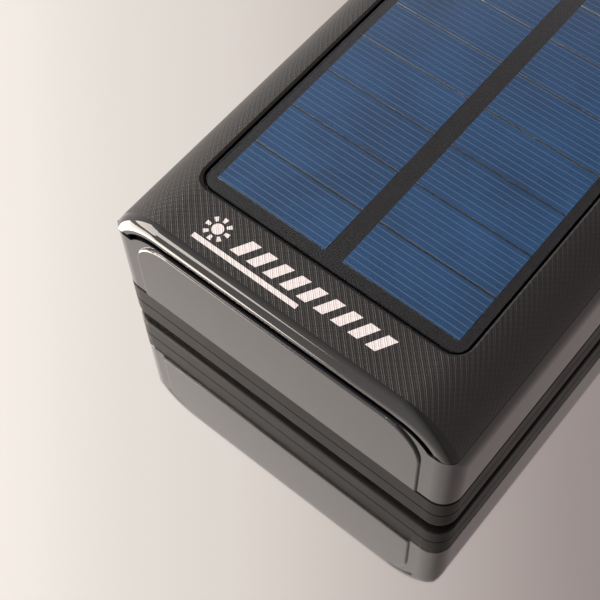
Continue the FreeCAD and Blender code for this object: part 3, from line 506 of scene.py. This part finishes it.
@dataclass(frozen=True)
class ClearFilm(Finish):
    """Clear laminate that lets the cells show through, with a soft sheen of its own."""

    def material(self) -> bpy.types.Material:
        """Builds a see-through film.

        Returns:
            The Blender material.
        """
        made = bpy.data.materials.new(self.name)
        made.use_nodes = True
        graph = Graph(made.node_tree)
        place = self.place(graph)
        # The mix already weighs the sheen by angle, so its own side reflects fully.
        sheen = graph.add(
            "ShaderNodeBsdfPrincipled", Metallic=1.0, Base_Color=self.tint(graph, place),
            Roughness=self.gloss(graph, place),
        )
        clear = graph.add("ShaderNodeBsdfTransparent")
        share = graph.add("ShaderNodeFresnel", IOR=self.ior)
        mix = graph.add("ShaderNodeMixShader", i0=share.outputs[0], i1=clear.outputs[0], i2=sheen.outputs[0])
        graph.add("ShaderNodeOutputMaterial", Surface=mix.outputs[0])
        return made


# Gloss ABS, moulded and polished: near black, with reflections as sharp as a mirror's.
COVER_GLOSS = Finish("gloss_abs_cover", "0b0b0d", 0.07, roughness_spread=0.02, grain=Grain(1.2, 0.0006))
# Pressed artificial leather: broken fine ribs under satin lacquer.
LEATHER = CrossHatch("pressed_leather_skin", "171718", 0.44, ior=1.52)
# Gloss dark ABS housing: reads pale grey where it mirrors the table.
HOUSING_GLOSS = Finish("gloss_abs_housing", "17171a", 0.06, roughness_spread=0.015, grain=Grain(2.5, 0.0008))
# Satin ABS tray, spark-eroded mould: an even charcoal with soft highlights.
TRAY_SATIN = Finish("satin_abs_tray", "0a0909", 0.36, ior=1.14, grain=Grain(0.25, 0.004))
# Moulded rubber: matt black with a powdery bloom.
FOOT_RUBBER = Finish("moulded_rubber_feet", "141414", 0.75, ior=1.52, grain=Grain(0.3, 0.02))
# Solder resist on glass fibre, dark grey on the solar panel and green inside.
PANEL_RESIST = Finish("black_resist_panel", "1b1a1c", 0.5, ior=1.15, grain=Grain(0.5, 0.004))
BOARD_RESIST = Finish("green_resist_board", "12572f", 0.35, grain=Grain(0.6, 0.006))
# Screen-printed silicon cells.
CELLS = SolarCell("silicon_solar_cells", "2b68a4", 0.4, ior=1.1)
# PET laminate over the cells.
FILM = ClearFilm("pet_laminate_film", "dfe4ea", 0.3, ior=1.37, variation=0.05, roughness_spread=0.03)
# White acrylic foam tape.
TAPE = Finish("acrylic_foam_tape", "d9d7cf", 0.7, grain=Grain(0.4, 0.01))
# Laminated aluminium foil of a pouch cell, slightly crumpled.
POUCH = Finish("aluminium_pouch_foil", "c5c8cc", 0.32, metallic=1.0, grain=Grain(5.0, 0.06))
# Nickel strip, rolled.
NICKEL = Finish("rolled_nickel_strip", "bdb8ad", 0.3, metallic=1.0, grain=Grain(0.3, 0.004))
# Zinc-plated steel screws and stamped socket shells.
STEEL = Finish("plated_steel", "b9babd", 0.26, metallic=1.0, grain=Grain(0.35, 0.003))
# PVC wire insulation.
WIRE = Finish("pvc_wire_insulation", "8e1512", 0.4, ior=1.53, grain=Grain(0.8, 0.01))
# EVA foam pads.
FOAM = Finish("eva_foam_pad", "333334", 0.9, grain=Grain(0.5, 0.08))
# Barley paper insulator.
PAPER = Finish("barley_paper_sheet", "b7a777", 0.8, grain=Grain(0.4, 0.01))
# Epoxy chip packages.
EPOXY = Finish("epoxy_chip_package", "1c1c1d", 0.5, grain=Grain(0.15, 0.006))
# Bare aluminium capacitor can.
CAN = Finish("drawn_aluminium_can", "c9cbcd", 0.25, metallic=1.0, grain=Grain(0.4, 0.003))
# Glass-filled nylon contact carriers.
NYLON = Finish("nylon_contact_carrier", "151516", 0.45, grain=Grain(0.3, 0.006))
# Gold flash over nickel, stamped: warm yellow with a soft shine.
CONTACT_GOLD = Finish("gold_flashed_contacts", "d9a441", 0.25, metallic=1.0, grain=Grain(0.2, 0.001))
# Satin ABS bezel.
BEZEL = Finish("satin_abs_bezel", "161617", 0.32, grain=Grain(0.25, 0.006))
# Polyimide flexible circuit.
POLYIMIDE = Finish("polyimide_ribbon", "a5641c", 0.3, grain=Grain(0.6, 0.004))
# White LED packages.
LED = Finish("led_package", "e8e2c4", 0.3, grain=Grain(0.2, 0.004))
# Frosted polycarbonate light guide.
GUIDE = Finish("frosted_polycarbonate", "dfe3e8", 0.35, ior=1.58, transmission=0.5, grain=Grain(0.2, 0.01))
# Clear polycarbonate lens.
LENS = Finish(
    "clear_polycarbonate_lens", "eef1f4", 0.04, ior=1.58, transmission=0.85, grain=Grain(1.5, 0.004)
)
# Gloss ABS button.
BUTTON = Finish("gloss_abs_button", "101012", 0.12, grain=Grain(1.0, 0.001))
# Switch body, moulded nylon.
SWITCH = Finish("moulded_nylon_switch", "202022", 0.45, grain=Grain(0.3, 0.005))

CAD_FINISHES: Dict[str, Finish] = {
    "top_cover": COVER_GLOSS,
    "texture_skin": LEATHER,
    "panel_tape": TAPE,
    "panel_board": PANEL_RESIST,
    "solar_cells_left": CELLS,
    "solar_cells_right": CELLS,
    "panel_film": FILM,
    "panel_leads": WIRE,
    "main_housing": HOUSING_GLOSS,
    "bottom_cover": TRAY_SATIN,
    "rubber_feet": FOOT_RUBBER,
    "bottom_screws": STEEL,
    "battery_cell_lower": POUCH,
    "battery_cell_middle": POUCH,
    "battery_cell_upper": POUCH,
    "cell_tapes": TAPE,
    "cell_foam": FOAM,
    "cell_tabs": NICKEL,
    "protection_board": BOARD_RESIST,
    "insulating_sheet": PAPER,
    "battery_leads": WIRE,
    "main_board": BOARD_RESIST,
    "board_screws": STEEL,
    "power_inductors": EPOXY,
    "control_chips": EPOXY,
    "board_capacitors": CAN,
    "usb_a_shells": STEEL,
    "usb_a_tongues": NYLON,
    "usb_c_shell": STEEL,
    "usb_c_tongue": NYLON,
    "micro_usb_shell": STEEL,
    "micro_usb_tongue": NYLON,
    "port_bezel": BEZEL,
    "indicator_board": BOARD_RESIST,
    "indicator_cable": POLYIMIDE,
    "indicator_leds": LED,
    "light_guide": GUIDE,
    "torch_led": LED,
    "torch_lens": LENS,
    "power_button": BUTTON,
    "switch_body": SWITCH,
    "switch_plunger": SWITCH,
}


def dress(node: bpy.types.Object, finish: Finish) -> None:
    """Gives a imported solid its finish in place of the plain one.

    Args:
        node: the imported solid.
        finish: its finish.
    """
    found = bpy.data.materials.get(finish.name) or finish.material()
    node.data.materials.clear()
    node.data.materials.append(found)


@dataclass
class Piece:
    """A new mesh made with bmesh operators, then set to ride on a body."""

    name: str
    finish: Finish
    body: Body = Body.HOUSING
    mesh: bmesh.types.BMesh = field(default_factory=bmesh.new)

    def block(self, low: Triple, high: Triple) -> List[bmesh.types.BMVert]:
        """Adds a block between two corners in millimetres.

        Args:
            low: the lowest corner.
            high: the highest corner.

        Returns:
            The block's vertices.
        """
        made = bmesh.ops.create_cube(self.mesh, size=1.0)["verts"]
        size = Vector(high) - Vector(low)
        middle = (Vector(high) + Vector(low)) / 2
        bmesh.ops.scale(self.mesh, vec=size * MM, verts=made)
        bmesh.ops.translate(self.mesh, vec=middle * MM, verts=made)
        return made

    def soften(self, offset_mm: float, segments: int = 2) -> None:
        """Rounds every sharp edge a little.

        Args:
            offset_mm: how far the rounding reaches.
            segments: how many faces it has.
        """
        sharp = [e for e in self.mesh.edges if e.is_manifold and e.calc_face_angle() > math.radians(30)]
        bmesh.ops.bevel(
            self.mesh, geom=sharp, offset=offset_mm * MM, offset_type="OFFSET", segments=segments,
            profile=0.5, affect="EDGES", clamp_overlap=True, material=-1,
        )

    def finish_piece(self) -> bpy.types.Object:
        """Turns the mesh into an object with its finish that rides on its body.


        Returns:
            The object.
        """
        bmesh.ops.recalc_face_normals(self.mesh, faces=self.mesh.faces)
        data = bpy.data.meshes.new(self.name)
        self.mesh.to_mesh(data)
        self.mesh.free()
        data.materials.append(bpy.data.materials.get(self.finish.name) or self.finish.material())
        obj = bpy.data.objects.new(self.name, data)
        bpy.context.scene.collection.objects.link(obj)
        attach(obj, self.body.value)
        LOG.info("%s: %d faces", self.name, len(data.polygons))
        return obj


@dataclass
class Case:
    """The cover, skin, housing and tray."""

    nodes: Dict[str, bpy.types.Object]

    def build(self) -> None:
        """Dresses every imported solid."""
        for name, finish in CAD_FINISHES.items():
            dress(self.nodes[name], finish)
            LOG.info("%s: %s", name, finish.name)


@dataclass
class SocketContacts:
    """Spring contacts under the tongues of the two larger sockets."""

    half_tongue_mm: float = 6.15
    underside_mm: float = 2.9
    places_mm: Tuple[float, ...] = (-3.5, -1.0, 1.0, 3.5)
    width_mm: float = 1.0
    length_mm: float = 6.5
    setback_mm: float = 0.7
    proud_mm: float = 0.1
    edge_mm: float = 0.04

    def build(self) -> bpy.types.Object:
        """Makes every contact in one mesh.

        Returns:
            The contacts.
        """
        low, high = (Vector(corner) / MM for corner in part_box("usb_a_tongues"))
        under = low.z + self.underside_mm
        front = high.y - self.setback_mm
        piece = Piece("usb_a_contacts", CONTACT_GOLD)
        for middle in (low.x + self.half_tongue_mm, high.x - self.half_tongue_mm):
            for place in self.places_mm:
                x = middle + place
                piece.block(
                    (x - self.width_mm / 2, front - self.length_mm, under - self.proud_mm),
                    (x + self.width_mm / 2, front, under + self.proud_mm),
                )
        piece.soften(self.edge_mm)
        return piece.finish_piece()


@dataclass(frozen=True)
class Daylight:
    """A soft studio sky: bright on one side, greyer on the other."""

    towards_light: Triple = (-0.77, -0.635, 0.0)
    strength: float = 1.6
    # How far round towards the light, and the red, green and blue seen there.
    stops: Tuple[Tuple[float, Triple], ...] = (
        (-0.60, (0.45, 0.395, 0.385)),
        (-0.40, (0.38, 0.330, 0.320)),
        (-0.20, (0.33, 0.284, 0.276)),
        (-0.10, (0.52, 0.458, 0.442)),
        (0.00, (0.74, 0.677, 0.644)),
        (0.08, (0.87, 0.816, 0.774)),
        (0.22, (0.99, 0.945, 0.900)),
        (0.45, (1.50, 1.395, 1.320)),
        (0.80, (1.60, 1.500, 1.420)),
    )

    def build(self) -> bpy.types.World:
        """Makes the world.

        Returns:
            The world.
        """
        world = bpy.data.worlds.new("studio_daylight")
        bpy.context.scene.world = world
        world.use_nodes = True
        graph = Graph(world.node_tree)
        way = graph.add("ShaderNodeTexCoord").outputs["Generated"]
        side = graph.add("ShaderNodeVectorMath", {"operation": "DOT_PRODUCT"}, i0=way, i1=self.towards_light)
        first, last = self.stops[0][0], self.stops[-1][0]
        share = graph.add(
            "ShaderNodeMapRange", Value=side.outputs["Value"], From_Min=first, From_Max=last, To_Min=0.0,
            To_Max=1.0,
        )
        sky = graph.add("ShaderNodeValToRGB", Fac=share.outputs["Result"])
        ramp = sky.color_ramp
        ramp.interpolation = "B_SPLINE"
        for turn, light in self.stops:
            if turn in (first, last):
                element = ramp.elements[0 if turn == first else -1]
            else:
                element = ramp.elements.new((turn - first) / (last - first))
            element.color = tuple(level / self.strength for level in light) + (1.0,)
        light = graph.add("ShaderNodeBackground", Color=sky.outputs["Color"], Strength=self.strength)
        graph.add("ShaderNodeOutputWorld", Surface=light.outputs[0])
        return world


@dataclass(frozen=True)
class Softbox:
    """A square diffused lamp that faces the object from some way off."""

    name: str
    towards: Triple
    away_m: float
    side_m: float
    watts: float

    def build(self) -> bpy.types.Object:
        """Hangs the lamp.

        Returns:
            The lamp.
        """
        data = bpy.data.lights.new(self.name, "AREA")
        data.shape = "SQUARE"
        data.size = self.side_m
        data.energy = self.watts
        data.color = linear("fff4ea")[:3]
        obj = bpy.data.objects.new(self.name, data)
        way = Vector(self.towards).normalized()
        turn = way.to_track_quat("Z", "Y").to_matrix().to_4x4()
        obj.matrix_world = Matrix.Translation(way * self.away_m) @ turn
        bpy.context.scene.collection.objects.link(obj)
        return obj


SOFTBOXES = (
    Softbox("window_light", (-0.68, -0.56, 0.47), 1.6, 1.2, 56.0),
)


@dataclass
class Studio:
    """The polished floor, the light and the camera."""

    floor_half_m: float = 3.0
    floor_colour: str = "eceae8"
    floor_roughness: Tuple[float, float] = (0.03, 0.045)
    haze_scale: float = 6.0
    camera_place: Triple = (0.0745, -0.1546, 0.2278)
    azimuth_deg: float = 42.23
    elevation_deg: float = 59.78
    roll_deg: float = -3.2
    lens_mm: float = 77.8
    shift_y: float = -0.015

    def floor(self) -> bpy.types.Object:
        """Lays a polished pale floor under the feet.

        Returns:
            The floor.
        """
        mesh = bmesh.new()
        bmesh.ops.create_grid(mesh, x_segments=1, y_segments=1, size=self.floor_half_m)
        data = bpy.data.meshes.new("polished_floor")
        mesh.to_mesh(data)
        mesh.free()
        made = bpy.data.materials.new("polished_pale_floor")
        made.use_nodes = True
        graph = Graph(made.node_tree)
        place = graph.add("ShaderNodeTexCoord").outputs["Object"]
        haze = graph.add("ShaderNodeTexNoise", Vector=place, Scale=self.haze_scale, Detail=2.0)
        low, high = self.floor_roughness
        rough = graph.add(
            "ShaderNodeMapRange", Value=haze.outputs["Fac"], From_Min=0.3, From_Max=0.7, To_Min=low,
            To_Max=high,
        )
        shader = graph.add(
            "ShaderNodeBsdfPrincipled", Base_Color=linear(self.floor_colour), Metallic=1.0,
            Roughness=rough.outputs["Result"],
        )
        graph.add("ShaderNodeOutputMaterial", Surface=shader.outputs["BSDF"])
        data.materials.append(made)
        obj = bpy.data.objects.new("polished_floor", data)
        bpy.context.scene.collection.objects.link(obj)
        return obj

    def camera(self) -> bpy.types.Object:
        """Sets up the camera over the near corner.

        Returns:
            The camera.
        """
        data = bpy.data.cameras.new("camera")
        data.sensor_width = 36.0
        data.lens = self.lens_mm
        data.shift_y = self.shift_y
        data.clip_start = 0.01
        obj = bpy.data.objects.new("camera", data)
        turn = (
            Matrix.Rotation(math.radians(self.azimuth_deg), 4, "Z")
            @ Matrix.Rotation(math.radians(90.0 - self.elevation_deg), 4, "X")
            @ Matrix.Rotation(math.radians(self.roll_deg), 4, "Z")
        )
        obj.matrix_world = Matrix.Translation(self.camera_place) @ turn
        bpy.context.scene.collection.objects.link(obj)
        bpy.context.scene.camera = obj
        return obj

    def build(self) -> None:
        """Builds the floor, the sky and the camera."""
        self.floor()
        Daylight().build()
        for box in SOFTBOXES:
            box.build()
        self.camera()
        bpy.context.scene.view_settings.view_transform = "Standard"


def main() -> None:
    """Builds the sub-assemblies in order."""
    logging.basicConfig(level=logging.INFO, format="%(message)s")
    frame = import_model()
    Case(frame["nodes"]).build()
    SocketContacts().build()
    Studio().build()


if __name__ == "__main__":
    main()
